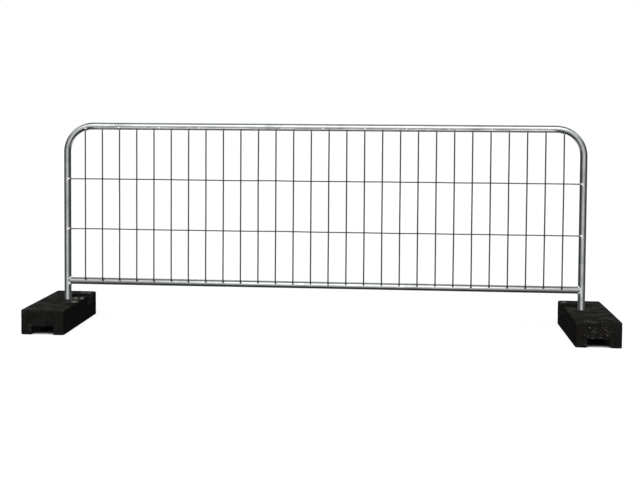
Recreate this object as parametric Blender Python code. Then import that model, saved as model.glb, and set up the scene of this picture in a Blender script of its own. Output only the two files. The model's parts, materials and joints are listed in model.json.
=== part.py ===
"""Crowd control barrier: a bent steel tube frame with a welded wire infill, standing in
two recycled rubber feet.

Metres, +Z up. +X runs along the barrier and the wire infill is on the -Y side of the
frame. The origin is on the ground, midway between the two feet.
"""

import math

import bmesh
import bpy
from mathutils import Vector

# Driving dimensions.
MESH_PITCH = 0.100           # from one upright bar to the next
BAR_COUNT = 28
SIDE_BAY = 0.1105            # from the outermost bar to the centre of the post
TUBE_RADIUS = 0.020
TUBE_WALL = 0.0015
FRAME_HEIGHT = 1.160         # top of the frame above the ground
BEND_RADIUS = 0.150          # of the tube's centreline, at the two upper corners
RAIL_HEIGHT = 0.244          # centre of the bottom rail above the ground
CROSS_WIRE_HEIGHTS = {"cross_wire_upper": 0.836, "cross_wire_lower": 0.548}
BAR_RADIUS = 0.004
WIRE_RADIUS = 0.0035
BAR_OVERLAP = 0.014          # how far the bars run down over the front of the rail
BAR_LENGTH_SPREAD = 0.0025   # the cut lengths of the bars differ by this much,
BAR_LENGTH_STEP = 2.4        # in a wave with this step in radians from bar to bar
FOOT_WIDTH = 0.243
FOOT_LENGTH = 0.730
FOOT_HEIGHT = 0.137
LEG_BEHIND_CENTRE = 0.045    # the leg stands this far behind the middle of the foot
SOCKET_SPACING = 0.066       # between the two sockets across one foot
SOCKET_RADIUS = 0.022
SOCKET_CHAMFER = 0.003
CHANNEL_WIDTH = 0.122        # tunnel along the underside of the foot
CHANNEL_HEIGHT = 0.045
CHANNEL_ROUND = 0.004
GRIP_START = 0.105           # the hand grip lies this far behind the leg
GRIP_LENGTH = 0.110
GRIP_DEPTH = 0.050
GRIP_PAST_LEG = 0.015        # the grip reaches this far past the line of the leg
GRIP_ROUND = 0.010
FOOT_CORNER_ROUND = 0.016
FOOT_TOP_ROUND = 0.009
CUT_PAST = 0.030             # how far a cutter runs out of the foot
GAP = 0.0003                 # between pieces that touch or are welded

# Fineness of the round shapes.
TUBE_SIDES = 32
WIRE_SIDES = 12
SOCKET_SIDES = 32
BEND_STEPS = 12
FOOT_ROUND_STEPS = 4

# Places that follow from the driving dimensions.
POST_X = (BAR_COUNT - 1) * MESH_PITCH / 2 + SIDE_BAY
FRAME_Y = LEG_BEHIND_CENTRE
TOP_HEIGHT = FRAME_HEIGHT - TUBE_RADIUS
BAR_Y = FRAME_Y - TUBE_RADIUS - GAP - BAR_RADIUS
WIRE_Y = BAR_Y + BAR_RADIUS + GAP + WIRE_RADIUS

ALONG = Vector((1.0, 0.0, 0.0))
BACKWARD = Vector((0.0, 1.0, 0.0))
UPWARD = Vector((0.0, 0.0, 1.0))

STEEL = ("galvanised_steel", (0.52, 0.55, 0.56), 0.35, 1.0)
WIRE = ("zinc_wire", (0.42, 0.43, 0.43), 0.45, 1.0)
RUBBER = ("recycled_rubber", (0.018, 0.017, 0.016), 0.75, 0.0)


def clear_scene():
    """Remove every object that the file holds."""
    for item in list(bpy.data.objects):
        bpy.data.objects.remove(item, do_unlink=True)


def principled(name, colour, roughness, metallic):
    """A plain material from its colour, roughness and metallic value."""
    material = bpy.data.materials.get(name) or bpy.data.materials.new(name)
    material.use_nodes = True
    shader = material.node_tree.nodes["Principled BSDF"]
    shader.inputs["Base Color"].default_value = (*colour, 1.0)
    shader.inputs["Roughness"].default_value = roughness
    shader.inputs["Metallic"].default_value = metallic
    return material


def add_piece(name, shape, finish, location=(0.0, 0.0, 0.0)):
    """Turn a bmesh into an object with its own material, smooth over its round parts."""
    bmesh.ops.recalc_face_normals(shape, faces=shape.faces)
    mesh = bpy.data.meshes.new(name)
    shape.to_mesh(mesh)
    shape.free()
    mesh.shade_smooth()
    mesh.set_sharp_from_angle(angle=math.radians(35))
    slot, colour, roughness, metallic = finish
    mesh.materials.append(principled(f"{slot}_{name}", colour, roughness, metallic))
    piece = bpy.data.objects.new(name, mesh)
    piece.location = location
    bpy.context.scene.collection.objects.link(piece)
    return piece


def ring(shape, centre, across, up, radius, sides):
    """Add the corners of a circle round centre, in the plane of across and up."""
    turns = [2 * math.pi * step / sides for step in range(sides)]
    return [
        shape.verts.new(centre + radius * (math.cos(turn) * across + math.sin(turn) * up))
        for turn in turns
    ]


def skin(shape, first, second):
    """Join two rings of the same number of corners with quads."""
    for here in range(len(first)):
        after = (here + 1) % len(first)
        shape.faces.new((first[here], first[after], second[after], second[here]))


def sweep(shape, places, radius, sides):
    """Add a ring at each place, given as centre, across and up, and join them in turn."""
    rings = [ring(shape, *place, radius, sides) for place in places]
    for first, second in zip(rings, rings[1:]):
        skin(shape, first, second)
    return rings


def cap_ends(shape, rings):
    """Close the first and the last ring of a sweep with flat faces."""
    shape.faces.new(rings[0])
    shape.faces.new(rings[-1])


def frame_curve():
    """Centre and outward direction of the frame tube, from the left leg to the right."""
    corner = Vector((POST_X - BEND_RADIUS, FRAME_Y, TOP_HEIGHT - BEND_RADIUS))
    places = [(Vector((-POST_X, FRAME_Y, 0.0)), -ALONG)]
    for side in (-1, 1):
        for step in range(BEND_STEPS + 1):
            share = step / BEND_STEPS if side < 0 else 1 - step / BEND_STEPS
            turn = share * math.pi / 2
            outward = Vector((side * math.cos(turn), 0.0, math.sin(turn)))
            centre = Vector((side * corner.x, corner.y, corner.z)) + BEND_RADIUS * outward
            places.append((centre, outward))
    places.append((Vector((POST_X, FRAME_Y, 0.0)), ALONG))
    return places


def make_frame_tube():
    """One tube bent into both posts and the top rail; its ends are the legs."""
    shape = bmesh.new()
    places = [(centre, outward, BACKWARD) for centre, outward in frame_curve()]
    outer = sweep(shape, places, TUBE_RADIUS, TUBE_SIDES)
    inner = sweep(shape, places, TUBE_RADIUS - TUBE_WALL, TUBE_SIDES)
    skin(shape, outer[0], inner[0])
    skin(shape, outer[-1], inner[-1])
    return add_piece("frame_tube", shape, STEEL)


def coped_ring(shape, side, radius):
    """A ring at one end of the rail, cut to the round of the post it is welded to."""
    corners = []
    for step in range(TUBE_SIDES):
        turn = 2 * math.pi * step / TUBE_SIDES
        depth = radius * math.cos(turn)
        height = radius * math.sin(turn)
        post_reach = math.sqrt((TUBE_RADIUS + GAP) ** 2 - depth**2)
        corners.append(shape.verts.new((side * (POST_X - post_reach), depth, height)))
    return corners


def make_bottom_rail():
    """Straight tube between the posts, both ends coped to them."""
    shape = bmesh.new()
    ends = []
    for radius in (TUBE_RADIUS, TUBE_RADIUS - TUBE_WALL):
        left = coped_ring(shape, -1, radius)
        right = coped_ring(shape, 1, radius)
        skin(shape, left, right)
        ends.append((left, right))
    (outer_left, outer_right), (inner_left, inner_right) = ends
    skin(shape, outer_left, inner_left)
    skin(shape, outer_right, inner_right)
    return add_piece("bottom_rail", shape, STEEL, (0.0, FRAME_Y, RAIL_HEIGHT))


def make_rod(name, places, radius, location):
    """A solid round rod through the places, closed at both ends."""
    shape = bmesh.new()
    cap_ends(shape, sweep(shape, places, radius, WIRE_SIDES))
    return add_piece(name, shape, WIRE, location)


def border_height(x):
    """Height at which a wire at WIRE_Y touches the lower front of the top tube."""
    reach = TUBE_RADIUS + GAP + WIRE_RADIUS
    below = math.sqrt(reach**2 - (FRAME_Y - WIRE_Y) ** 2)
    into_bend = max(0.0, abs(x) - (POST_X - BEND_RADIUS))
    wire_bend = BEND_RADIUS - below
    return TOP_HEIGHT - BEND_RADIUS + math.sqrt(wire_bend**2 - into_bend**2)


def make_bar(number):
    """One upright bar, from the border wire down over the front of the bottom rail."""
    x = (number - (BAR_COUNT + 1) / 2) * MESH_PITCH
    top = border_height(x) + 2 * WIRE_RADIUS
    lower = RAIL_HEIGHT + TUBE_RADIUS - BAR_OVERLAP
    lower += BAR_LENGTH_SPREAD * math.sin(BAR_LENGTH_STEP * number)
    places = [(Vector((0.0, 0.0, height)), ALONG, BACKWARD) for height in (0.0, top - lower)]
    return make_rod(f"bar_{number:02d}", places, BAR_RADIUS, (x, BAR_Y, lower))


def make_cross_wire(name, height):
    """Straight wire behind the bars, its ends welded to the front of both posts."""
    back = WIRE_Y + WIRE_RADIUS - FRAME_Y
    reach = POST_X - math.sqrt((TUBE_RADIUS + GAP) ** 2 - back**2)
    places = [(Vector((x, 0.0, 0.0)), BACKWARD, UPWARD) for x in (-reach, reach)]
    return make_rod(name, places, WIRE_RADIUS, (0.0, WIRE_Y, height))


def make_border_wire():
    """Wire that follows the lower front of the top tube from the first bar to the last."""
    reach = (BAR_COUNT - 1) * MESH_PITCH / 2 + 2 * WIRE_RADIUS
    straight = POST_X - BEND_RADIUS
    bent = [straight + (reach - straight) * step / 4 for step in range(5)]
    stops = [-x for x in reversed(bent)] + bent
    level = border_height(0.0)
    centres = [Vector((x, 0.0, border_height(x) - level)) for x in stops]
    places = [(centre, BACKWARD, UPWARD) for centre in centres]
    return make_rod("border_wire", places, WIRE_RADIUS, (0.0, WIRE_Y, level))


def add_box(shape, low, high):
    """Add a box between two corners."""
    middle = (Vector(low) + Vector(high)) / 2
    extent = Vector(high) - Vector(low)
    for corner in bmesh.ops.create_cube(shape, size=1.0)["verts"]:
        corner.co = Vector(extent[i] * corner.co[i] + middle[i] for i in range(3))


def round_edges(shape, radius, chosen):
    """Round off the edges for which chosen is true."""
    edges = [edge for edge in shape.edges if chosen(edge)]
    bmesh.ops.bevel(
        shape, geom=edges, offset=radius, segments=FOOT_ROUND_STEPS, profile=0.5, affect="EDGES"
    )


def is_upright(edge):
    """Whether an edge of the foot's block stands at one of its four corners."""
    first, second = edge.verts
    return abs(first.co.z - second.co.z) > FOOT_HEIGHT / 2


def is_top(edge):
    """Whether an edge lies round the top of the foot's block."""
    return all(corner.co.z > FOOT_HEIGHT - GAP for corner in edge.verts)


def add_cutter(name, shape, foot):
    """Keep a shape as the hidden cutter of a Boolean on the foot."""
    bmesh.ops.recalc_face_normals(shape, faces=shape.faces)
    mesh = bpy.data.meshes.new(name)
    shape.to_mesh(mesh)
    shape.free()
    tool = bpy.data.objects.new(name, mesh)
    tool.hide_render = True
    tool.display_type = "WIRE"
    tool.parent = foot
    bpy.context.scene.collection.objects.link(tool)
    cut = foot.modifiers.new(name, "BOOLEAN")
    cut.operation = "DIFFERENCE"
    cut.solver = "EXACT"
    cut.object = tool


def cut_socket(foot, name, x):
    """A round hole down into the channel, with a chamfered mouth."""
    profile = [
        (SOCKET_RADIUS, CHANNEL_HEIGHT / 2),
        (SOCKET_RADIUS, FOOT_HEIGHT - SOCKET_CHAMFER),
        (SOCKET_RADIUS + 2 * SOCKET_CHAMFER, FOOT_HEIGHT + SOCKET_CHAMFER),
    ]
    shape = bmesh.new()
    rings = [
        ring(shape, Vector((x, 0.0, height)), ALONG, BACKWARD, radius, SOCKET_SIDES)
        for radius, height in profile
    ]
    for first, second in zip(rings, rings[1:]):
        skin(shape, first, second)
    cap_ends(shape, rings)
    add_cutter(name, shape, foot)


def cut_hollow(foot, name, low, high, radius):
    """A box-shaped hollow between two corners, with rounded edges."""
    shape = bmesh.new()
    pairs = list(zip(low, high))
    add_box(shape, [min(pair) for pair in pairs], [max(pair) for pair in pairs])
    round_edges(shape, radius, lambda edge: True)
    add_cutter(name, shape, foot)


def make_foot(name, inward):
    """A rubber foot whose origin is on its leg's axis.

    inward is +1 where the middle of the barrier lies towards +X of the foot, else -1.
    """
    middle_x = -inward * SOCKET_SPACING / 2
    front = -LEG_BEHIND_CENTRE - FOOT_LENGTH / 2
    back = front + FOOT_LENGTH
    inner_side = middle_x + inward * FOOT_WIDTH / 2
    outer_side = middle_x - inward * FOOT_WIDTH / 2
    shape = bmesh.new()
    sides = sorted((inner_side, outer_side))
    add_box(shape, (sides[0], front, 0.0), (sides[1], back, FOOT_HEIGHT))
    round_edges(shape, FOOT_CORNER_ROUND, is_upright)
    round_edges(shape, FOOT_TOP_ROUND, is_top)
    foot = add_piece(name, shape, RUBBER, (-inward * POST_X, FRAME_Y, 0.0))

    cut_hollow(
        foot, f"{name}_channel",
        (middle_x - CHANNEL_WIDTH / 2, front - CUT_PAST, -CUT_PAST),
        (middle_x + CHANNEL_WIDTH / 2, back + CUT_PAST, CHANNEL_HEIGHT),
        CHANNEL_ROUND,
    )
    cut_socket(foot, f"{name}_socket", 0.0)
    cut_socket(foot, f"{name}_spare_socket", -inward * SOCKET_SPACING)
    cut_hollow(
        foot, f"{name}_grip",
        (-inward * GRIP_PAST_LEG, GRIP_START, FOOT_HEIGHT - GRIP_DEPTH),
        (inner_side + inward * CUT_PAST, GRIP_START + GRIP_LENGTH, FOOT_HEIGHT + CUT_PAST),
        GRIP_ROUND,
    )
    return foot


def main():
    clear_scene()
    make_frame_tube()
    make_bottom_rail()
    for number in range(1, BAR_COUNT + 1):
        make_bar(number)
    for name, height in CROSS_WIRE_HEIGHTS.items():
        make_cross_wire(name, height)
    make_border_wire()
    make_foot("foot_left", 1)
    make_foot("foot_right", -1)


main()
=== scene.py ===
"""Looks of the crowd control barrier: galvanised tube and wire, welds and rubber feet.

Everything is in metres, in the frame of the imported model. The places come from the boxes
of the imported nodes, and the sizes named here are the ones that a box can't give.
"""

import json
import math

import bmesh
import bpy
from mathutils import Matrix, Vector, noise

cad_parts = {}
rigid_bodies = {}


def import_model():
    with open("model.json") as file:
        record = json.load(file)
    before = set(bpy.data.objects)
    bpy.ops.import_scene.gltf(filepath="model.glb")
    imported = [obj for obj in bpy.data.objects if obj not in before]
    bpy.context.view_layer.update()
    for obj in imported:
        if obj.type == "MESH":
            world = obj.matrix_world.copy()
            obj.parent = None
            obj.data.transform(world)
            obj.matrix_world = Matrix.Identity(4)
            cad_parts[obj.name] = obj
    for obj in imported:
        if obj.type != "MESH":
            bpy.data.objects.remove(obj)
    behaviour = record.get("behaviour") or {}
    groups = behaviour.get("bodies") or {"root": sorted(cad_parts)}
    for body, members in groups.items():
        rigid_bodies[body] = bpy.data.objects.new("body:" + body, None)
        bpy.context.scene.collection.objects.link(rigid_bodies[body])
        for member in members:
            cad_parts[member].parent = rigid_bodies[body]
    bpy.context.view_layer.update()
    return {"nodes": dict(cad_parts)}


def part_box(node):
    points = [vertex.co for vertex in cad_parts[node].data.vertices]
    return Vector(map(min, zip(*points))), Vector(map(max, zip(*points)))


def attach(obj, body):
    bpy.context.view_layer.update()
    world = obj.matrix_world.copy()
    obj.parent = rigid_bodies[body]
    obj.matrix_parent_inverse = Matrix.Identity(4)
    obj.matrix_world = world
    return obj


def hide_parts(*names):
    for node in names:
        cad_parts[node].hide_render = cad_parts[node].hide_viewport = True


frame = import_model()

# ---------------------------------------------------------------- sizes and places
BEND_RADIUS = 0.150          # of the frame tube's centreline
TUBE_WALL = 0.0015
TUBE_SIDES = 48
WIRE_SIDES = 12
UV_LAYER = "metres"          # along the tube, and round it
ALONG = Vector((1.0, 0.0, 0.0))
BACKWARD = Vector((0.0, 1.0, 0.0))
UPWARD = Vector((0.0, 0.0, 1.0))

frame_low, frame_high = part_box("frame_tube")
rail_low, rail_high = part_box("bottom_rail")
TUBE_RADIUS = (frame_high.y - frame_low.y) / 2
FRAME_Y = (frame_high.y + frame_low.y) / 2
POST_X = frame_high.x - TUBE_RADIUS
TOP_Z = frame_high.z - TUBE_RADIUS
RAIL_Z = (rail_low.z + rail_high.z) / 2
TUBE_GIRTH = 2 * math.pi * TUBE_RADIUS

BARS = sorted(name for name in frame["nodes"] if name.startswith("bar_"))
CROSS_WIRES = ("cross_wire_upper", "cross_wire_lower")
BORDER_WIRE = "border_wire"
FEET = {"foot_left": -1, "foot_right": 1}      # and the side of the barrier they are on

RAIL_DRIPS = {               # distance from the post's axis, rise over the rail's axis, size
    "weld_rail_left": ((0.0125, -0.0120, 0.0058), (0.0075, -0.0160, 0.0046)),
    "weld_rail_right": (
        (0.0070, 0.0080, 0.0036), (0.0040, 0.0010, 0.0042), (0.0055, -0.0070, 0.0036),
        (0.0030, -0.0150, 0.0044), (0.0050, -0.0240, 0.0036), (0.0025, -0.0320, 0.0032),
        (0.0045, -0.0400, 0.0028),
    ),
}

foot_low, foot_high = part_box("foot_left")
FOOT_FRONT, FOOT_TOP = foot_low.y, foot_high.z
FLECKS = {                   # places and reaches of the denser pale flecks
    "foot_left": (),
    "foot_right": (
        ((POST_X + 0.012, FOOT_FRONT, 0.118), 0.050),
        ((POST_X + 0.038, FOOT_FRONT, 0.076), 0.070),
    ),
}
SCUFFS = {                   # places and reaches of the light scuffs on top
    "foot_left": (
        ((-POST_X + 0.040, FRAME_Y + 0.020, FOOT_TOP), 0.060),
        ((-POST_X + 0.080, FRAME_Y + 0.035, FOOT_TOP), 0.050),
        ((-POST_X + 0.060, FRAME_Y - 0.110, FOOT_TOP), 0.045),
        ((-POST_X + 0.050, FRAME_Y + 0.240, FOOT_TOP), 0.050),
    ),
    "foot_right": (
        ((POST_X - 0.060, FRAME_Y + 0.235, FOOT_TOP), 0.040),
    ),
}


# ---------------------------------------------------------------- node graphs
class Graph:
    """Short ways of adding nodes to one node tree."""

    def __init__(self, tree):
        self.tree = tree

    def node(self, kind, **settings):
        made = self.tree.nodes.new(kind)
        for key, value in settings.items():
            setattr(made, key, value)
        return made

    def feed(self, socket, value):
        """Link a socket into another, or set it to a constant."""
        if isinstance(value, bpy.types.NodeSocket):
            self.tree.links.new(value, socket)
        elif isinstance(value, tuple) and len(socket.default_value) == 4:
            socket.default_value = (*value, 1.0)
        else:
            socket.default_value = value

    def objects(self):
        return self.node("ShaderNodeTexCoord").outputs["Object"]

    def drawn(self, along, across):
        """Coordinates on a tube's skin, stretched to so many units per metre."""
        layer = self.node("ShaderNodeUVMap", uv_map=UV_LAYER)
        mapping = self.node("ShaderNodeMapping")
        self.feed(mapping.inputs["Vector"], layer.outputs["UV"])
        mapping.inputs["Scale"].default_value = (along, across, 1.0)
        return mapping.outputs["Vector"]

    def noise(self, vector, scale, detail=3.0, roughness=0.55, distortion=0.0):
        made = self.node("ShaderNodeTexNoise")
        self.feed(made.inputs["Vector"], vector)
        self.feed(made.inputs["Scale"], scale)
        self.feed(made.inputs["Detail"], detail)
        self.feed(made.inputs["Roughness"], roughness)
        self.feed(made.inputs["Distortion"], distortion)
        return made.outputs["Fac"]

    def cells(self, vector, scale):
        """Random value of each Voronoi cell, and the distance from its middle."""
        made = self.node("ShaderNodeTexVoronoi")
        self.feed(made.inputs["Vector"], vector)
        self.feed(made.inputs["Scale"], scale)
        split = self.node("ShaderNodeSeparateColor")
        self.feed(split.inputs["Color"], made.outputs["Color"])
        return split.outputs["Red"], made.outputs["Distance"]

    def ramp(self, value, *stops):
        """Straight-line ramp through stops, each a place and a brightness or colour."""
        made = self.node("ShaderNodeValToRGB")
        self.feed(made.inputs["Fac"], value)
        points = made.color_ramp.elements
        while len(points) < len(stops):
            points.new(0.5)
        for point, (place, colour) in zip(points, stops):
            point.position = place
            colour = colour if isinstance(colour, tuple) else (colour,) * 3
            point.color = (*colour, 1.0)
        return made.outputs["Color"]

    def mix(self, factor, first, second, blend="MIX"):
        made = self.node("ShaderNodeMix", data_type="RGBA", blend_type=blend)
        enabled = {socket.name: socket for socket in made.inputs if socket.enabled}
        self.feed(enabled["Factor"], factor)
        self.feed(enabled["A"], first)
        self.feed(enabled["B"], second)
        return next(socket for socket in made.outputs if socket.enabled)

    def times(self, first, second):
        return self.mix(1.0, first, second, "MULTIPLY")

    def math(self, operation, *values):
        made = self.node("ShaderNodeMath", operation=operation)
        for socket, value in zip(made.inputs, values):
            self.feed(socket, value)
        return made.outputs["Value"]

    def split(self, vector):
        made = self.node("ShaderNodeSeparateXYZ")
        self.feed(made.inputs["Vector"], vector)
        return made.outputs["X"], made.outputs["Y"], made.outputs["Z"]

    def level(self, x, y):
        """A vector with no height."""
        made = self.node("ShaderNodeCombineXYZ")
        self.feed(made.inputs["X"], x)
        self.feed(made.inputs["Y"], y)
        return made.outputs["Vector"]

    def away(self, vector, place):
        """Distance from a place."""
        made = self.node("ShaderNodeVectorMath", operation="DISTANCE")
        self.feed(made.inputs[0], vector)
        made.inputs[1].default_value = place
        return made.outputs["Value"]

    def bump(self, *layers):
        """Bumps on each other, each given as a height, a strength and a distance."""
        normal = None
        for height, strength, distance in layers:
            made = self.node("ShaderNodeBump")
            made.inputs["Strength"].default_value = strength
            made.inputs["Distance"].default_value = distance
            self.feed(made.inputs["Height"], height)
            if normal is not None:
                self.feed(made.inputs["Normal"], normal)
            normal = made.outputs["Normal"]
        return normal


def new_look(name, metallic, specular):
    """A Principled material, its graph and its shader."""
    material = bpy.data.materials.new(name)
    material.use_nodes = True
    shader = material.node_tree.nodes["Principled BSDF"]
    shader.inputs["Metallic"].default_value = metallic
    shader.inputs["Specular IOR Level"].default_value = specular
    return material, Graph(material.node_tree), shader


def dress(graph, shader, colour, roughness, normal):
    graph.feed(shader.inputs["Base Color"], colour)
    graph.feed(shader.inputs["Roughness"], roughness)
    graph.feed(shader.inputs["Normal"], normal)


# ---------------------------------------------------------------- materials
BRIGHT_ZINC = (0.745, 0.765, 0.762)
DULL_ZINC = (0.54, 0.56, 0.558)
END_PAINTED_SHADE_ZINC = (0.46, 0.47, 0.47)
SCUFFED_ZINC = (0.24, 0.23, 0.21)
DRAWN_ZINC = (0.20, 0.203, 0.20)
WELD_HOLLOWS, WELD_CRESTS = (0.55, 0.56, 0.555), (0.95, 0.97, 0.96)
PIT_SHADE_DARKER, PIT_SHADE_LIGHTER = (0.010, 0.010, 0.011), (0.045, 0.042, 0.038)
DARK_CRUMB, PALE_CRUMB = (0.0043, 0.0041, 0.0037), (0.0122, 0.0115, 0.0103)
FLECK = (0.19, 0.176, 0.145)
WORN_RUBBER = (0.050, 0.047, 0.042)
DUST_AND_TOP_SHEEN = (0.048, 0.0465, 0.042)
TORN_RUBBER = (0.14, 0.136, 0.131)


def tube_look(name, dull_and_painted_shade_ends):
    """Hot-dip galvanised tube: spangle, long streaks, dull patches and fine scuffs.

    With its last argument at 1 it is rougher towards both ends, and darker there as painted
    shade that stands for a dimmer reflection.
    """
    material, graph, shader = new_look(name, 1.0, 0.5)
    solid = graph.objects()
    x, _, _ = graph.split(solid)
    from_left = graph.math("MULTIPLY_ADD", x, 0.5 / POST_X, 0.5)
    end = graph.ramp(from_left, (0.12, 1.0), (0.36, 0.0), (0.72, 0.0), (0.92, 1.0))
    end = graph.math("MULTIPLY", end, dull_and_painted_shade_ends)
    streak_height = graph.noise(graph.drawn(4.0, 160.0), 1.0, 5.0, 0.6)
    spangle, _ = graph.cells(solid, 120.0)
    dull = graph.ramp(graph.noise(solid, 9.0, 4.0, 0.6, 0.4), (0.46, 0.0), (0.68, 1.0))
    scuff_height = graph.noise(graph.drawn(26.0, 60.0), 1.0, 6.0, 0.7, 1.2)
    scuff = graph.ramp(scuff_height, (0.64, 0.0), (0.72, 1.0))
    zinc = graph.mix(dull, BRIGHT_ZINC, DULL_ZINC)
    # painted shade: the rail darkens towards both ends, standing for a dimmer reflection
    # there
    zinc = graph.mix(end, zinc, END_PAINTED_SHADE_ZINC)
    zinc = graph.times(zinc, graph.ramp(spangle, (0.0, 0.88), (1.0, 1.0)))
    zinc = graph.times(zinc, graph.ramp(streak_height, (0.30, 0.84), (0.70, 1.0)))
    zinc = graph.mix(graph.math("MULTIPLY", scuff, 0.5), zinc, SCUFFED_ZINC)
    rough = graph.math("MULTIPLY_ADD", dull, 0.10, 0.13)
    rough = graph.math("MULTIPLY_ADD", end, 0.22, rough)
    rough = graph.math("ADD", rough, graph.math("MULTIPLY", scuff, 0.25))
    normal = graph.bump(
        (graph.noise(solid, 24.0, 2.0), 0.20, 0.0015),
        (streak_height, 0.12, 0.0003),
        (graph.noise(solid, 420.0, 3.0), 0.12, 0.0002),
    )
    dress(graph, shader, zinc, rough, normal)
    return material


def wire_look():
    """Zinc-coated drawn wire: duller than the tube, with darker and brighter lengths."""
    material, graph, shader = new_look("galvanised_wire", 1.0, 0.5)
    solid = graph.objects()
    lengths = graph.ramp(graph.noise(solid, 7.0, 4.0, 0.7), (0.35, 0.66), (0.65, 1.0))
    grain = graph.ramp(graph.noise(solid, 240.0, 4.0, 0.65), (0.3, 0.78), (0.7, 1.0))
    zinc = graph.times(graph.times(DRAWN_ZINC, lengths), grain)
    rough = graph.ramp(graph.noise(solid, 60.0, 3.0), (0.3, 0.24), (0.7, 0.36))
    normal = graph.bump((graph.noise(solid, 500.0, 3.0, 0.6), 0.25, 0.0002))
    dress(graph, shader, zinc, rough, normal)
    return material


def weld_look():
    """Weld metal under bright zinc paint: speckled, and lighter than the tube."""
    material, graph, shader = new_look("weld_zinc", 0.7, 0.5)
    solid = graph.objects()
    blotch = graph.noise(solid, 190.0, 4.0, 0.6)
    zinc = graph.ramp(blotch, (0.32, WELD_HOLLOWS), (0.56, WELD_CRESTS))
    rough = graph.ramp(blotch, (0.30, 0.55), (0.70, 0.34))
    normal = graph.bump((graph.noise(solid, 700.0, 3.0, 0.6), 0.35, 0.0003))
    dress(graph, shader, zinc, rough, normal)
    return material


def pit_shade_look():
    """Painted shade for the pit at a weld's tip: nearly black, with glassy spots."""
    material, graph, shader = new_look("weld_pit_painted_shade", 0.2, 0.4)
    solid = graph.objects()
    blotch = graph.noise(solid, 600.0, 4.0, 0.6)
    # painted shade: the nearly black colour stands for the shadow inside the pit
    pit_shade = graph.ramp(blotch, (0.35, PIT_SHADE_DARKER), (0.65, PIT_SHADE_LIGHTER))
    rough = graph.ramp(blotch, (0.30, 0.35), (0.70, 0.75))
    normal = graph.bump((graph.noise(solid, 900.0, 3.0, 0.6), 0.4, 0.0002))
    dress(graph, shader, pit_shade, rough, normal)
    return material


def rubber_crumb(graph, solid):
    """Black crumb in uneven shades: its colour, and its height for the bumps."""
    shade, height = graph.cells(solid, 250.0)
    black = graph.ramp(shade, (0.0, DARK_CRUMB), (1.0, PALE_CRUMB))
    mottle = graph.ramp(graph.noise(solid, 16.0, 5.0, 0.62), (0.30, 0.45), (0.70, 1.0))
    return graph.times(black, mottle), height


def with_flecks(graph, solid, colour, places):
    """Pale ragged crumbs: a few anywhere, and more of them round the given places."""
    chance, inside = graph.cells(solid, 210.0)
    share = graph.ramp(graph.noise(solid, 10.0, 2.0), (0.40, 0.0), (0.62, 0.030))
    for place, reach in places:
        cluster = graph.ramp(graph.away(solid, place), (0.0, 0.12), (reach, 0.0))
        share = graph.math("ADD", share, cluster)
    chosen = graph.math("GREATER_THAN", graph.math("ADD", chance, share), 1.0)
    ragged = graph.math("MULTIPLY_ADD", graph.noise(solid, 380.0, 4.0, 0.7), 1.1, inside)
    fleck = graph.math("MULTIPLY", chosen, graph.ramp(ragged, (0.78, 1.0), (0.90, 0.0)))
    return graph.mix(fleck, colour, FLECK)


def with_worn_edges(graph, solid, colour, pointiness):
    edge = graph.ramp(pointiness, (0.515, 0.0), (0.56, 1.0))
    worn = graph.ramp(graph.noise(solid, 42.0, 4.0, 0.7), (0.42, 0.0), (0.66, 0.6))
    return graph.mix(graph.math("MULTIPLY", edge, worn), colour, WORN_RUBBER)


def turning_marks(graph, solid, leg_x):
    """Broken rings rubbed into the top of the foot as it turns about the leg."""
    x, y, _ = graph.split(solid)
    radius = graph.away(graph.level(x, y), (leg_x, FRAME_Y, 0.0))
    rings = graph.ramp(graph.noise(radius, 240.0, 1.0, 0.5), (0.58, 0.0), (0.66, 1.0))
    rubbed = graph.ramp(graph.noise(solid, 19.0, 4.0, 0.6), (0.48, 0.0), (0.66, 0.75))
    near = graph.ramp(radius, (0.09, 1.0), (0.14, 0.0))
    return graph.math("MULTIPLY", graph.math("MULTIPLY", rings, rubbed), near)


def with_dust_and_top_sheen(graph, solid, colour, upward, marks):
    """Dust that has settled in patches and in the turning marks, on upward faces only, so
    that it is also painted light that keeps the tops lighter than the front and sides.
    """
    settled = graph.ramp(graph.noise(solid, 13.0, 6.0, 0.68, 0.5), (0.44, 0.0), (0.74, 0.5))
    # dust and painted light: only upward faces get it, so the tops read lighter than the
    # sides
    dust_and_sheen = graph.math("MULTIPLY", upward, graph.math("ADD", settled, marks))
    return graph.mix(dust_and_sheen, colour, DUST_AND_TOP_SHEEN)


def with_scuffs(graph, solid, colour, upward, places):
    """Torn marks on top, drawn out from front to back, round the given places."""
    x, y, _ = graph.split(solid)
    drawn_out = graph.level(x, graph.math("MULTIPLY", y, 0.3))
    torn = graph.ramp(graph.noise(drawn_out, 72.0, 3.0, 0.6, 0.6), (0.53, 0.0), (0.58, 1.0))
    for place, reach in places:
        close = graph.ramp(graph.away(solid, place), (reach * 0.4, 1.0), (reach, 0.0))
        scuff = graph.math("MULTIPLY", graph.math("MULTIPLY", close, torn), upward)
        colour = graph.mix(scuff, colour, TORN_RUBBER)
    return colour


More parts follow.
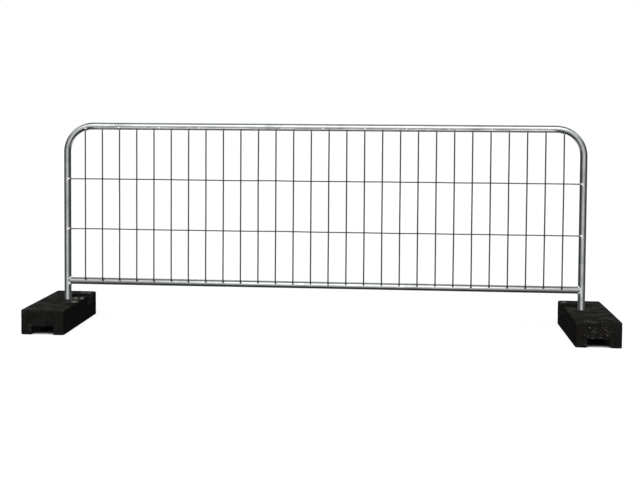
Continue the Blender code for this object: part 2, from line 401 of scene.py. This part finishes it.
def rubber_look(name, leg_x, fleck_places, scuff_places):
    """Moulded recycled rubber, worn and dusty, with painted light on its top faces, on the
    foot whose leg is at leg_x.
    """
    material, graph, shader = new_look(name, 0.0, 0.02)
    solid = graph.objects()
    geometry = graph.node("ShaderNodeNewGeometry")
    _, _, facing = graph.split(geometry.outputs["Normal"])
    upward = graph.ramp(facing, (0.75, 0.0), (0.97, 1.0))
    black, crumb_height = rubber_crumb(graph, solid)
    black = with_flecks(graph, solid, black, fleck_places)
    black = with_worn_edges(graph, solid, black, geometry.outputs["Pointiness"])
    black = with_dust_and_top_sheen(graph, solid, black, upward, turning_marks(graph, solid, leg_x))
    black = with_scuffs(graph, solid, black, upward, scuff_places)
    rough = graph.ramp(graph.noise(solid, 35.0, 3.0), (0.3, 0.78), (0.7, 0.95))
    normal = graph.bump(
        (graph.noise(solid, 60.0, 5.0, 0.65), 0.55, 0.0012),
        (crumb_height, 0.45, 0.0007),
    )
    dress(graph, shader, black, rough, normal)
    return material


TUBE = tube_look("galvanised_tube", 0.0)
RAIL = tube_look("galvanised_rail", 1.0)
WIRE = wire_look()
WELD = weld_look()
PAINTED_PIT_SHADE = pit_shade_look()


# ---------------------------------------------------------------- building pieces
def add_piece(name, shape, material, slot, body, *replaced):
    """Finish a bmesh as a piece with its material and body. The slot argument is not used.
    """
    bmesh.ops.recalc_face_normals(shape, faces=shape.faces)
    mesh = bpy.data.meshes.new(name)
    shape.to_mesh(mesh)
    shape.free()
    mesh.shade_smooth()
    mesh.set_sharp_from_angle(angle=math.radians(50))
    mesh.materials.append(material)
    piece = bpy.data.objects.new(name, mesh)
    bpy.context.scene.collection.objects.link(piece)
    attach(piece, body)
    if replaced:
        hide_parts(*replaced)
    return piece


def add_ring(shape, place, radius, sides):
    """Corners round a place, given as centre, across and up.

    The radius may be a function of the angle.
    """
    centre, across, up = place
    corners = []
    for step in range(sides):
        turn = 2 * math.pi * step / sides
        reach = radius(turn) if callable(radius) else radius
        offset = reach * (math.cos(turn) * across + math.sin(turn) * up)
        corners.append(shape.verts.new(centre + offset))
    return corners


def join_rings(shape, first, second, start=0.0, stop=0.0):
    """Join two rings with quads, laid out in metres if the shape has the UV layer."""
    layer = shape.loops.layers.uv.get(UV_LAYER)
    sides = len(first)
    for here in range(sides):
        after = (here + 1) % sides
        face = shape.faces.new((first[here], first[after], second[after], second[here]))
        if layer is None:
            continue
        low = TUBE_GIRTH * here / sides
        high = TUBE_GIRTH * (here + 1) / sides
        corners = ((start, low), (start, high), (stop, high), (stop, low))
        for loop, corner in zip(face.loops, corners):
            loop[layer].uv = corner


def sweep(shape, places, radii, sides):
    """A ring at each place, joined in turn. Returns the rings."""
    rings = [add_ring(shape, place, radius, sides) for place, radius in zip(places, radii)]
    start = 0.0
    for number in range(1, len(rings)):
        stop = start + (places[number][0] - places[number - 1][0]).length
        join_rings(shape, rings[number - 1], rings[number], start, stop)
        start = stop
    return rings


def cap(shape, rings):
    """Close both ends of a sweep."""
    shape.faces.new(rings[0])
    shape.faces.new(rings[-1])


def along_line(points):
    """Places for a sweep through points, each turned to follow the line."""
    places = []
    for number, point in enumerate(points):
        before = points[max(number - 1, 0)]
        after = points[min(number + 1, len(points) - 1)]
        direction = (after - before).normalized()
        helper = UPWARD if abs(direction.z) < 0.8 else BACKWARD
        across = direction.cross(helper).normalized()
        places.append((point, across, across.cross(direction)))
    return places


# ---------------------------------------------------------------- tubes
def straight(first, last, steps):
    """Points from first to just before last."""
    return [first.lerp(last, step / steps) for step in range(steps)]


def frame_places():
    """Centre, outward and backward directions along the bent tube, left to right."""
    post_steps, bend_steps, top_steps = 24, 20, 24
    bend_x, bend_z = POST_X - BEND_RADIUS, TOP_Z - BEND_RADIUS
    foot, shoulder = Vector((-POST_X, FRAME_Y, 0.0)), Vector((-POST_X, FRAME_Y, bend_z))
    half = [(point, -ALONG, BACKWARD) for point in straight(foot, shoulder, post_steps)]
    middle = Vector((-bend_x, FRAME_Y, bend_z))
    for step in range(bend_steps):
        turn = math.pi / 2 * step / bend_steps
        outward = Vector((-math.cos(turn), 0.0, math.sin(turn)))
        half.append((middle + BEND_RADIUS * outward, outward, BACKWARD))
    top_left, top_middle = Vector((-bend_x, FRAME_Y, TOP_Z)), Vector((0.0, FRAME_Y, TOP_Z))
    half += [
        (point, UPWARD, BACKWARD)
        for point in straight(top_left, top_middle, top_steps // 2)
    ]
    mirror = Matrix.Diagonal((-1.0, 1.0, 1.0))
    other = [(mirror @ centre, mirror @ outward, back) for centre, outward, back in half]
    return half + [(top_middle, UPWARD, BACKWARD)] + other[::-1]


def bend_share(centre):
    """0 on the straights, rising to 1 in the middle of a bend."""
    x = abs(centre.x) - (POST_X - BEND_RADIUS)
    z = centre.z - (TOP_Z - BEND_RADIUS)
    return math.sin(2 * math.atan2(z, x)) if x > 0 and z > 0 else 0.0


def oval(radius, share):
    """Section of the tube, flattened a little towards the middle of a bend."""
    flattening = 0.035 * share
    return lambda turn: radius * (1 - flattening * math.cos(turn) ** 2)


def make_frame_tube():
    shape = bmesh.new()
    shape.loops.layers.uv.new(UV_LAYER)
    places = frame_places()
    shares = [bend_share(centre) for centre, _, _ in places]
    skins = []
    for radius in (TUBE_RADIUS, TUBE_RADIUS - TUBE_WALL):
        radii = [oval(radius, share) for share in shares]
        skins.append(sweep(shape, places, radii, TUBE_SIDES))
    for end in (0, -1):
        join_rings(shape, skins[0][end], skins[1][end])
    add_piece("tube_frame", shape, TUBE, "galvanised_tube", "panel", "frame_tube")


def saddle(turn, radius, reach_radius):
    """Where a tube of a radius meets the post, as reach from its axis, depth and height."""
    depth = radius * math.cos(turn)
    reach = math.sqrt(max(reach_radius**2 - depth**2, 0.0))
    return reach, depth, radius * math.sin(turn)


def make_bottom_rail():
    """Straight tube between the posts, both ends coped to their round."""
    gap = 0.0003
    steps = 16
    shape = bmesh.new()
    shape.loops.layers.uv.new(UV_LAYER)
    skins = []
    for radius in (TUBE_RADIUS, TUBE_RADIUS - TUBE_WALL):
        rings = []
        for step in range(steps + 1):
            ring = []
            for side in range(TUBE_SIDES):
                turn = 2 * math.pi * side / TUBE_SIDES
                reach, depth, height = saddle(turn, radius, TUBE_RADIUS + gap)
                x = (POST_X - reach) * (2 * step / steps - 1)
                ring.append(shape.verts.new((x, FRAME_Y + depth, RAIL_Z + height)))
            rings.append(ring)
        for step in range(steps):
            span = 2 * POST_X / steps
            join_rings(shape, rings[step], rings[step + 1], step * span, (step + 1) * span)
        skins.append(rings)
    for end in (0, -1):
        join_rings(shape, skins[0][end], skins[1][end])
    add_piece("tube_rail", shape, RAIL, "galvanised_tube", "panel", "bottom_rail")


# ---------------------------------------------------------------- wires
def wobble(place, seed, size, reach):
    """A smooth offset of up to about size, changing over reach."""
    return size * noise.noise(Vector((place / reach, 7.31 * seed, 0.5)))


def make_wire(name, points, radius, node):
    """A wire through points, its ends cut off with a small chamfer."""
    chamfer = 0.0006
    first = points[0] + (points[1] - points[0]).normalized() * chamfer
    last = points[-1] + (points[-2] - points[-1]).normalized() * chamfer
    points = [points[0], first, *points[1:-1], last, points[-1]]
    radii = [radius - chamfer, *[radius] * (len(points) - 2), radius - chamfer]
    shape = bmesh.new()
    rings = sweep(shape, along_line(points), radii, WIRE_SIDES)
    cap(shape, rings)
    add_piece(name, shape, WIRE, "galvanised_wire", "panel", node)


def make_bar(node, number):
    """An upright bar, a little wavy between its welds."""
    sway_size, sway_reach = 0.0008, 0.30
    bow_size, bow_reach, bow_seed = 0.0004, 0.15, number + 50
    low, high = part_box(node)
    x, y = (low.x + high.x) / 2, (low.y + high.y) / 2
    steps = 22
    points = []
    for step in range(steps + 1):
        z = low.z + (high.z - low.z) * step / steps
        sway = wobble(z, number, sway_size, sway_reach)
        bow = wobble(z, bow_seed, bow_size, bow_reach)
        points.append(Vector((x + sway, y + bow, z)))
    make_wire(f"wire_{node}", points, (high.x - low.x) / 2, node)


def make_cross_wire(node, seed):
    """A straight wire between the posts, sagging and rising a little from bar to bar."""
    rise_size, rise_reach = 0.0016, 0.20
    low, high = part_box(node)
    y, z = (low.y + high.y) / 2, (low.z + high.z) / 2
    steps = 84
    points = []
    for step in range(steps + 1):
        x = low.x + (high.x - low.x) * step / steps
        points.append(Vector((x, y, z + wobble(x, seed, rise_size, rise_reach))))
    make_wire(f"wire_{node}", points, (high.y - low.y) / 2, node)


def border_height(x):
    """Height of the border wire, which follows the frame tube into its bends."""
    low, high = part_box(BORDER_WIRE)
    radius = (high.y - low.y) / 2
    below = TOP_Z - (high.z - radius)
    into_bend = max(0.0, abs(x) - (POST_X - BEND_RADIUS))
    return TOP_Z - BEND_RADIUS + math.sqrt((BEND_RADIUS - below) ** 2 - into_bend**2)


def make_border_wire():
    low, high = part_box(BORDER_WIRE)
    y = (low.y + high.y) / 2
    steps = 90
    points = []
    for step in range(steps + 1):
        x = low.x + (high.x - low.x) * step / steps
        points.append(Vector((x, y, border_height(x))))
    make_wire(f"wire_{BORDER_WIRE}", points, (high.y - low.y) / 2, BORDER_WIRE)


def slab(half_depth, half_height):
    """Radius, by angle, of a flat-faced outline with rounded corners."""
    def radius(turn):
        deep = abs(math.cos(turn)) / half_depth
        high = abs(math.sin(turn)) / half_height
        return (deep**4 + high**4) ** -0.25
    return radius


def make_zinc_fill():
    """Zinc that has run into the crevice between the border wire and the tube above."""
    half_depth, half_height = 0.0018, 0.0041
    above_wire, before_wire = 0.0068, 0.0010
    taper_length, thinnest = 0.03, 0.1
    swell_size, swell_reach, seed = 0.26, 0.07, 77
    steps = 150
    sides = 12
    reach = POST_X - BEND_RADIUS
    low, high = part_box(BORDER_WIRE)
    y = (low.y + high.y) / 2 - before_wire
    points, outlines = [], []
    for step in range(steps + 1):
        x = reach * (2 * step / steps - 1)
        swell = 1 + wobble(x, seed, swell_size, swell_reach)
        taper = min(1.0, thinnest + (reach - abs(x)) / taper_length)
        points.append(Vector((x, y, border_height(x) + above_wire)))
        outlines.append(slab(half_depth * taper, half_height * swell * taper))
    shape = bmesh.new()
    shape.loops.layers.uv.new(UV_LAYER)
    cap(shape, sweep(shape, along_line(points), outlines, sides))
    add_piece("zinc_border_wire", shape, TUBE, "galvanised_tube", "panel")


# ---------------------------------------------------------------- welds
def add_bead(shape, points, radius):
    """A weld bead along points: rippled, uneven, with rounded ends."""
    ripple_pitch, ripple_height = 0.0022, 0.10
    lump_scale, lump_height = 160.0, 0.30
    end_share, bluntness = 0.16, 0.02
    count = len(points)
    run = 0.0
    radii = []
    for number, point in enumerate(points):
        run += (point - points[max(number - 1, 0)]).length
        from_end = min(number, count - 1 - number) / (end_share * count)
        taper = math.sqrt(max(bluntness, 1 - (1 - min(1.0, from_end)) ** 2))
        ripple = 1 + ripple_height * math.cos(2 * math.pi * run / ripple_pitch)
        uneven = 1 + lump_height * noise.noise(point * lump_scale)
        radii.append(radius * taper * ripple * uneven)
    rings = sweep(shape, along_line(points), radii, WIRE_SIDES)
    cap(shape, rings)


def add_nugget(shape, centre, halves, detail=3):
    """An uneven blob of weld metal with half sizes along x, y and z."""
    lump_scale, lump_height = 1.6, 0.24
    own_lumps = centre * 90.0
    made = bmesh.ops.create_icosphere(shape, subdivisions=detail, radius=1.0)["verts"]
    for corner in made:
        swell = 1 + lump_height * noise.noise(corner.co * lump_scale + own_lumps)
        offset = [corner.co[axis] * halves[axis] * swell for axis in range(3)]
        corner.co = centre + Vector(offset)


def front_of_post(x):
    """How far forward the post's surface is at x, as a y."""
    aside = min(abs(abs(x) - POST_X), TUBE_RADIUS)
    return FRAME_Y - math.sqrt(TUBE_RADIUS**2 - aside**2)


def make_rail_welds():
    """Beads round both ends of the rail, over and under, and the metal that ran down."""
    bead_radius = 0.0042
    off_corner, off_sides = 1.04, 0.93
    first, sweep_angle = 4, 172
    drip_width, drip_depth, drip_height = 0.95, 0.0019, 1.7
    steps = 64
    for name, side in (("weld_rail_left", -1), ("weld_rail_right", 1)):
        shape = bmesh.new()
        for sign in (1, -1):
            points = []
            for step in range(steps + 1):
                turn = math.radians(first + sweep_angle * step / steps)
                reach, depth, height = saddle(turn, TUBE_RADIUS, TUBE_RADIUS)
                x = side * (POST_X - reach * off_corner)
                y = FRAME_Y + depth * off_sides
                points.append(Vector((x, y, RAIL_Z + sign * height * off_corner)))
            add_bead(shape, points, bead_radius)
        for across, rise, size in RAIL_DRIPS[name]:
            x = side * (POST_X - across)
            place = Vector((x, front_of_post(x), RAIL_Z + rise))
            add_nugget(shape, place, (size * drip_width, drip_depth, size * drip_height))
        add_piece(name, shape, WELD, "galvanised_tube", "panel")


def make_weld_pit():
    """A dark blob of painted shade at the tip of the left weld, where its unfilled pit lies
    in shadow.
    """
    across, rise, size, proud = 0.0105, 0.0080, 0.0046, 0.0015
    x = across - POST_X
    shape = bmesh.new()
    # painted shade: a nearly black blob put where the pit's shadow falls
    add_nugget(shape, Vector((x, front_of_post(x) - proud, RAIL_Z + rise)), (size,) * 3)
    add_piece("weld_pit", shape, PAINTED_PIT_SHADE, "galvanised_tube", "panel")


def make_wire_end_welds():
    """Zinc-painted welds at the cross wires' ends: on the post, on the wire, and below."""
    inward = (0.0075, 0.0145, 0.0040)
    post_halves, post_proud = (0.0095, 0.0040, 0.0052), 0.0008
    wire_halves, wire_sunk = (0.0060, 0.0036, 0.0042), 0.0028
    run_halves, run_proud, run_drop = (0.0066, 0.0026, 0.0088), 0.0004, 0.0065
    for node in CROSS_WIRES:
        low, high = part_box(node)
        z = (low.z + high.z) / 2
        shape = bmesh.new()
        for side in (-1, 1):
            on_post, on_wire, below = (side * (POST_X - distance) for distance in inward)
            y = front_of_post(on_post) - post_proud
            add_nugget(shape, Vector((on_post, y, z)), post_halves)
            add_nugget(shape, Vector((on_wire, low.y + wire_sunk, z)), wire_halves)
            y = front_of_post(below) - run_proud
            add_nugget(shape, Vector((below, y, z - run_drop)), run_halves)
        add_piece(f"weld_{node}", shape, WELD, "galvanised_tube", "panel")


def make_tack_welds():
    """Short bright welds that hold the border wire under the top tube.

    One is in the left bend, and the others are evenly spaced from the second place.
    """
    in_bend, first, spacing, count = -1.350, -1.157, 0.2345, 11
    below_level = math.radians(27)
    halves = (0.0085, 0.0036, 0.0046)
    surface = TUBE_RADIUS + 0.0002
    shape = bmesh.new()
    for x in [in_bend] + [first + spacing * number for number in range(count)]:
        into_bend = max(0.0, abs(x) - (POST_X - BEND_RADIUS))
        drop = BEND_RADIUS - math.sqrt(BEND_RADIUS**2 - into_bend**2)
        y = FRAME_Y - surface * math.cos(below_level)
        z = TOP_Z - drop - surface * math.sin(below_level)
        add_nugget(shape, Vector((x, y, z)), halves)
    add_piece("weld_tacks", shape, WELD, "galvanised_tube", "panel")


def make_crossing_welds():
    """The squeezed resistance welds where the bars meet the wires."""
    halves = (0.0040, 0.0022, 0.0034)
    for node in (*CROSS_WIRES, BORDER_WIRE):
        low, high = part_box(node)
        shape = bmesh.new()
        for bar in BARS:
            bar_low, bar_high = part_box(bar)
            x = (bar_low.x + bar_high.x) / 2
            z = border_height(x) if node == BORDER_WIRE else (low.z + high.z) / 2
            add_nugget(shape, Vector((x, (bar_high.y + low.y) / 2, z)), halves, 2)
        add_piece(f"weld_{node}_bars", shape, WIRE, "galvanised_wire", "panel")


def make_bar_foot_welds():
    """The squeezed resistance welds where the bars end on the bottom rail."""
    above_end, sunk = 0.0035, 0.0002
    half_width, half_depth, half_height = 0.0052, 0.0018, 0.0040
    spread, spread_reach, seed = 0.0024, 0.09, 3
    shape = bmesh.new()
    for bar in BARS:
        bar_low, bar_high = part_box(bar)
        x = (bar_low.x + bar_high.x) / 2
        z = bar_low.z + above_end
        surface = FRAME_Y - math.sqrt(TUBE_RADIUS**2 - (z - RAIL_Z) ** 2)
        squeezed = half_width + wobble(x, seed, spread, spread_reach)
        place = Vector((x, surface - sunk, z))
        add_nugget(shape, place, (squeezed, half_depth, half_height), 2)
    add_piece("weld_rail_bars", shape, WIRE, "galvanised_wire", "panel")


# ---------------------------------------------------------------- feet
def evaluated_mesh(piece):
    """A copy of a piece's mesh with its modifiers applied."""
    graph = bpy.context.evaluated_depsgraph_get()
    graph.update()
    return bpy.data.meshes.new_from_object(piece.evaluated_get(graph))


def settle(mesh):
    """Wear a remeshed foot: uneven faces and eaten edges, but still flat underneath."""
    broad, broad_scale = 0.0007, 28.0
    fine, fine_scale = 0.0004, 110.0
    wear, wear_scale, wear_everywhere = 0.0016, 60.0, 0.15
    flat_enough, edge_gain = 1.02, 8.0
    shape = bmesh.new()
    shape.from_mesh(mesh)
    shape.normal_update()
    moves = []
    for corner in shape.verts:
        place = corner.co
        swell = broad * noise.noise(place * broad_scale)
        swell += fine * noise.noise(place * fine_scale)
        edge = min(1.0, max(0.0, corner.calc_shell_factor() - flat_enough) * edge_gain)
        eaten = edge * max(0.0, noise.noise(place * wear_scale) + wear_everywhere)
        moves.append(corner.normal * (swell - wear * eaten))
    for corner, move in zip(shape.verts, moves):
        corner.co += move
        corner.co.z = max(corner.co.z, 0.0)
    return shape


def closed_copy(node):
    """An object with a copy of a node's mesh, its faces joined at their corners."""
    same_place = 0.00001
    shape = bmesh.new()
    shape.from_mesh(frame["nodes"][node].data)
    bmesh.ops.remove_doubles(shape, verts=shape.verts, dist=same_place)
    mesh = bpy.data.meshes.new(f"{node}_solid")
    shape.to_mesh(mesh)
    shape.free()
    solid = bpy.data.objects.new(f"{node}_solid", mesh)
    bpy.context.scene.collection.objects.link(solid)
    return solid


def make_foot(name, side):
    """The foot's solid, remeshed finely so that all its edges are soft and worn."""
    voxel = 0.0042
    softening, passes = 0.5, 2
    share_of_faces_kept = 0.42
    solid = closed_copy(name)
    remesh = solid.modifiers.new("remesh", "REMESH")
    remesh.mode = "VOXEL"
    remesh.voxel_size = voxel
    soften = solid.modifiers.new("soften", "SMOOTH")
    soften.factor = softening
    soften.iterations = passes
    shape = settle(evaluated_mesh(solid))
    shape.to_mesh(solid.data)
    shape.free()
    solid.modifiers.clear()
    fewer = solid.modifiers.new("fewer", "DECIMATE")
    fewer.ratio = share_of_faces_kept
    shape = bmesh.new()
    shape.from_mesh(evaluated_mesh(solid))
    bpy.data.objects.remove(solid)
    look = rubber_look(f"recycled_rubber_{name}", side * POST_X, FLECKS[name], SCUFFS[name])
    piece = add_piece(f"rubber_{name}", shape, look, "recycled_rubber", name, name)
    piece.data.set_sharp_from_angle(angle=math.pi)
    piece.visible_glossy = False


# ---------------------------------------------------------------- studio
def make_camera():
    """At standing height, right of the middle, with the frame shifted off axis."""
    place = (0.4298, -6.7888, 1.2262)
    yaw, pitch, roll = -0.0968, 0.0490, 0.0055
    forward = Vector((
        math.sin(yaw) * math.cos(pitch), math.cos(yaw) * math.cos(pitch), -math.sin(pitch)
    ))
    level = Vector((math.cos(yaw), -math.sin(yaw), 0.0))
    above = level.cross(forward)
    right = level * math.cos(roll) + above * math.sin(roll)
    up = above * math.cos(roll) - level * math.sin(roll)
    data = bpy.data.cameras.new("camera")
    data.lens = 68.13
    data.sensor_width = 36.0
    data.shift_x = 0.0638
    data.shift_y = -0.1073
    data.clip_end = 200.0
    camera = bpy.data.objects.new("camera", data)
    axes = Matrix((right, up, -forward)).transposed()
    camera.matrix_world = Matrix.Translation(place) @ axes.to_4x4()
    bpy.context.scene.collection.objects.link(camera)
    bpy.context.scene.camera = camera


def by_elevation(*stops):
    """Ramp stops from degrees of elevation and brightness, for a direction's z."""
    return [((math.sin(math.radians(e)) + 1) / 2, level) for e, level in stops]


def by_azimuth(*stops):
    """Ramp stops from degrees away from the front and brightness, for -y."""
    return [((math.cos(math.radians(a)) + 1) / 2, level) for a, level in stops]


def studio_walls(graph):
    """How bright the studio is in each direction.

    It has a bright front with a band of softboxes above it, darker sides, a dark
    floor and, behind the object, one bright band below eye level and one above.
    """
    tint = (0.98, 1.0, 0.995)
    way = graph.node("ShaderNodeTexCoord").outputs["Generated"]
    _, y, z = graph.split(way)
    height = graph.math("MULTIPLY_ADD", z, 0.5, 0.5)
    flat = graph.math("SQRT", graph.math("SUBTRACT", 1.0002, graph.math("MULTIPLY", z, z)))
    turn = graph.math("MULTIPLY_ADD", graph.math("DIVIDE", y, flat), -0.5, 0.5)
    wall = graph.ramp(height, *by_elevation(
        (-90, 0.004), (-62, 0.015), (-40, 0.06), (-30, 0.09), (-22, 0.22), (-12, 0.29),
        (12, 0.34), (24, 0.50), (31, 1.10), (42, 1.20), (52, 0.52), (62, 0.22), (76, 0.03),
    ))
    round_about = graph.ramp(turn, *by_azimuth(
        (180, 0.02), (110, 0.02), (75, 0.05), (60, 0.13), (37, 0.46), (14, 0.85), (0, 1.00),
    ))
    rear_wall = graph.ramp(height, *by_elevation(
        (-70, 0.01), (-52, 0.05), (-38, 0.36), (-21, 0.36), (-13, 0.05), (-6, 0.01),
        (8, 0.01), (24, 0.09), (30, 0.45), (42, 0.45), (50, 0.08), (64, 0.03), (90, 0.02),
    ))
    behind = graph.ramp(turn, *by_azimuth(
        (180, 1.00), (140, 0.85), (115, 0.60), (95, 0.42), (80, 0.25), (62, 0.0)
    ))
    overhead = graph.ramp(height, *by_elevation(
        (-90, 0.005), (0, 0.01), (30, 0.025), (60, 0.06), (90, 0.10),
    ))
    front, back = graph.times(wall, round_about), graph.times(rear_wall, behind)
    level = graph.mix(1.0, graph.mix(1.0, front, back, "ADD"), overhead, "ADD")
    return graph.times(level, tint)


def make_surroundings():
    """White to the camera, and a soft studio to everything else."""
    strength = 2.6
    world = bpy.data.worlds.new("studio")
    bpy.context.scene.world = world
    world.use_nodes = True
    tree = world.node_tree
    tree.nodes.clear()
    graph = Graph(tree)
    studio = graph.node("ShaderNodeBackground")
    graph.feed(studio.inputs["Color"], studio_walls(graph))
    graph.feed(studio.inputs["Strength"], strength)
    plain = graph.node("ShaderNodeBackground")
    graph.feed(plain.inputs["Color"], (1.0, 1.0, 1.0))
    choice = graph.node("ShaderNodeMixShader")
    graph.feed(choice.inputs[0], graph.node("ShaderNodeLightPath").outputs["Is Camera Ray"])
    tree.links.new(studio.outputs[0], choice.inputs[1])
    tree.links.new(plain.outputs[0], choice.inputs[2])
    output = graph.node("ShaderNodeOutputWorld")
    tree.links.new(choice.outputs[0], output.inputs["Surface"])


def make_floor():
    """A plain pale floor that isn't mirrored in the tubes.

    It glows where it is open to the air, and not under the feet.
    """
    half, below = 400.0, 0.0005
    shaded_within = 0.30
    shape = bmesh.new()
    corners = ((-half, -half), (half, -half), (half, half), (-half, half))
    shape.faces.new([shape.verts.new((x, y, -below)) for x, y in corners])
    mesh = bpy.data.meshes.new("floor")
    shape.to_mesh(mesh)
    shape.free()
    material, graph, shader = new_look("floor", 0.0, 0.0)
    graph.feed(shader.inputs["Base Color"], (0.10, 0.10, 0.10))
    graph.feed(shader.inputs["Roughness"], 0.9)
    open_air = graph.node("ShaderNodeAmbientOcclusion", samples=8)
    graph.feed(open_air.inputs["Distance"], shaded_within)
    glow = graph.ramp(open_air.outputs["AO"], (0.17, 0.0), (0.34, 1.0))
    graph.feed(shader.inputs["Emission Color"], glow)
    graph.feed(shader.inputs["Emission Strength"], 0.875)
    mesh.materials.append(material)
    floor = bpy.data.objects.new("floor", mesh)
    bpy.context.scene.collection.objects.link(floor)
    floor.visible_glossy = False
    floor.visible_diffuse = False


def make_light():
    """One broad soft light, high in front; the tubes mirror the surroundings instead."""
    aside = 0.02
    height = math.radians(42)
    data = bpy.data.lights.new("softbox", "SUN")
    data.energy = 4.6
    data.angle = math.radians(24)
    light = bpy.data.objects.new("softbox", data)
    aim = Vector((aside, math.cos(height), -math.sin(height)))
    light.rotation_mode = "QUATERNION"
    light.rotation_quaternion = aim.to_track_quat("-Z", "Y")
    light.visible_glossy = False
    bpy.context.scene.collection.objects.link(light)


# ---------------------------------------------------------------- everything
make_frame_tube()
make_bottom_rail()
for number, bar in enumerate(BARS):
    make_bar(bar, number)
for seed, node in enumerate(CROSS_WIRES):
    make_cross_wire(node, seed + 100)
make_border_wire()
make_zinc_fill()
make_rail_welds()
make_weld_pit()
make_wire_end_welds()
make_tack_welds()
make_crossing_welds()
make_bar_foot_welds()
for name, side in FEET.items():
    make_foot(name, side)

make_camera()
make_surroundings()
make_floor()
make_light()
bpy.context.scene.view_settings.view_transform = "Standard"
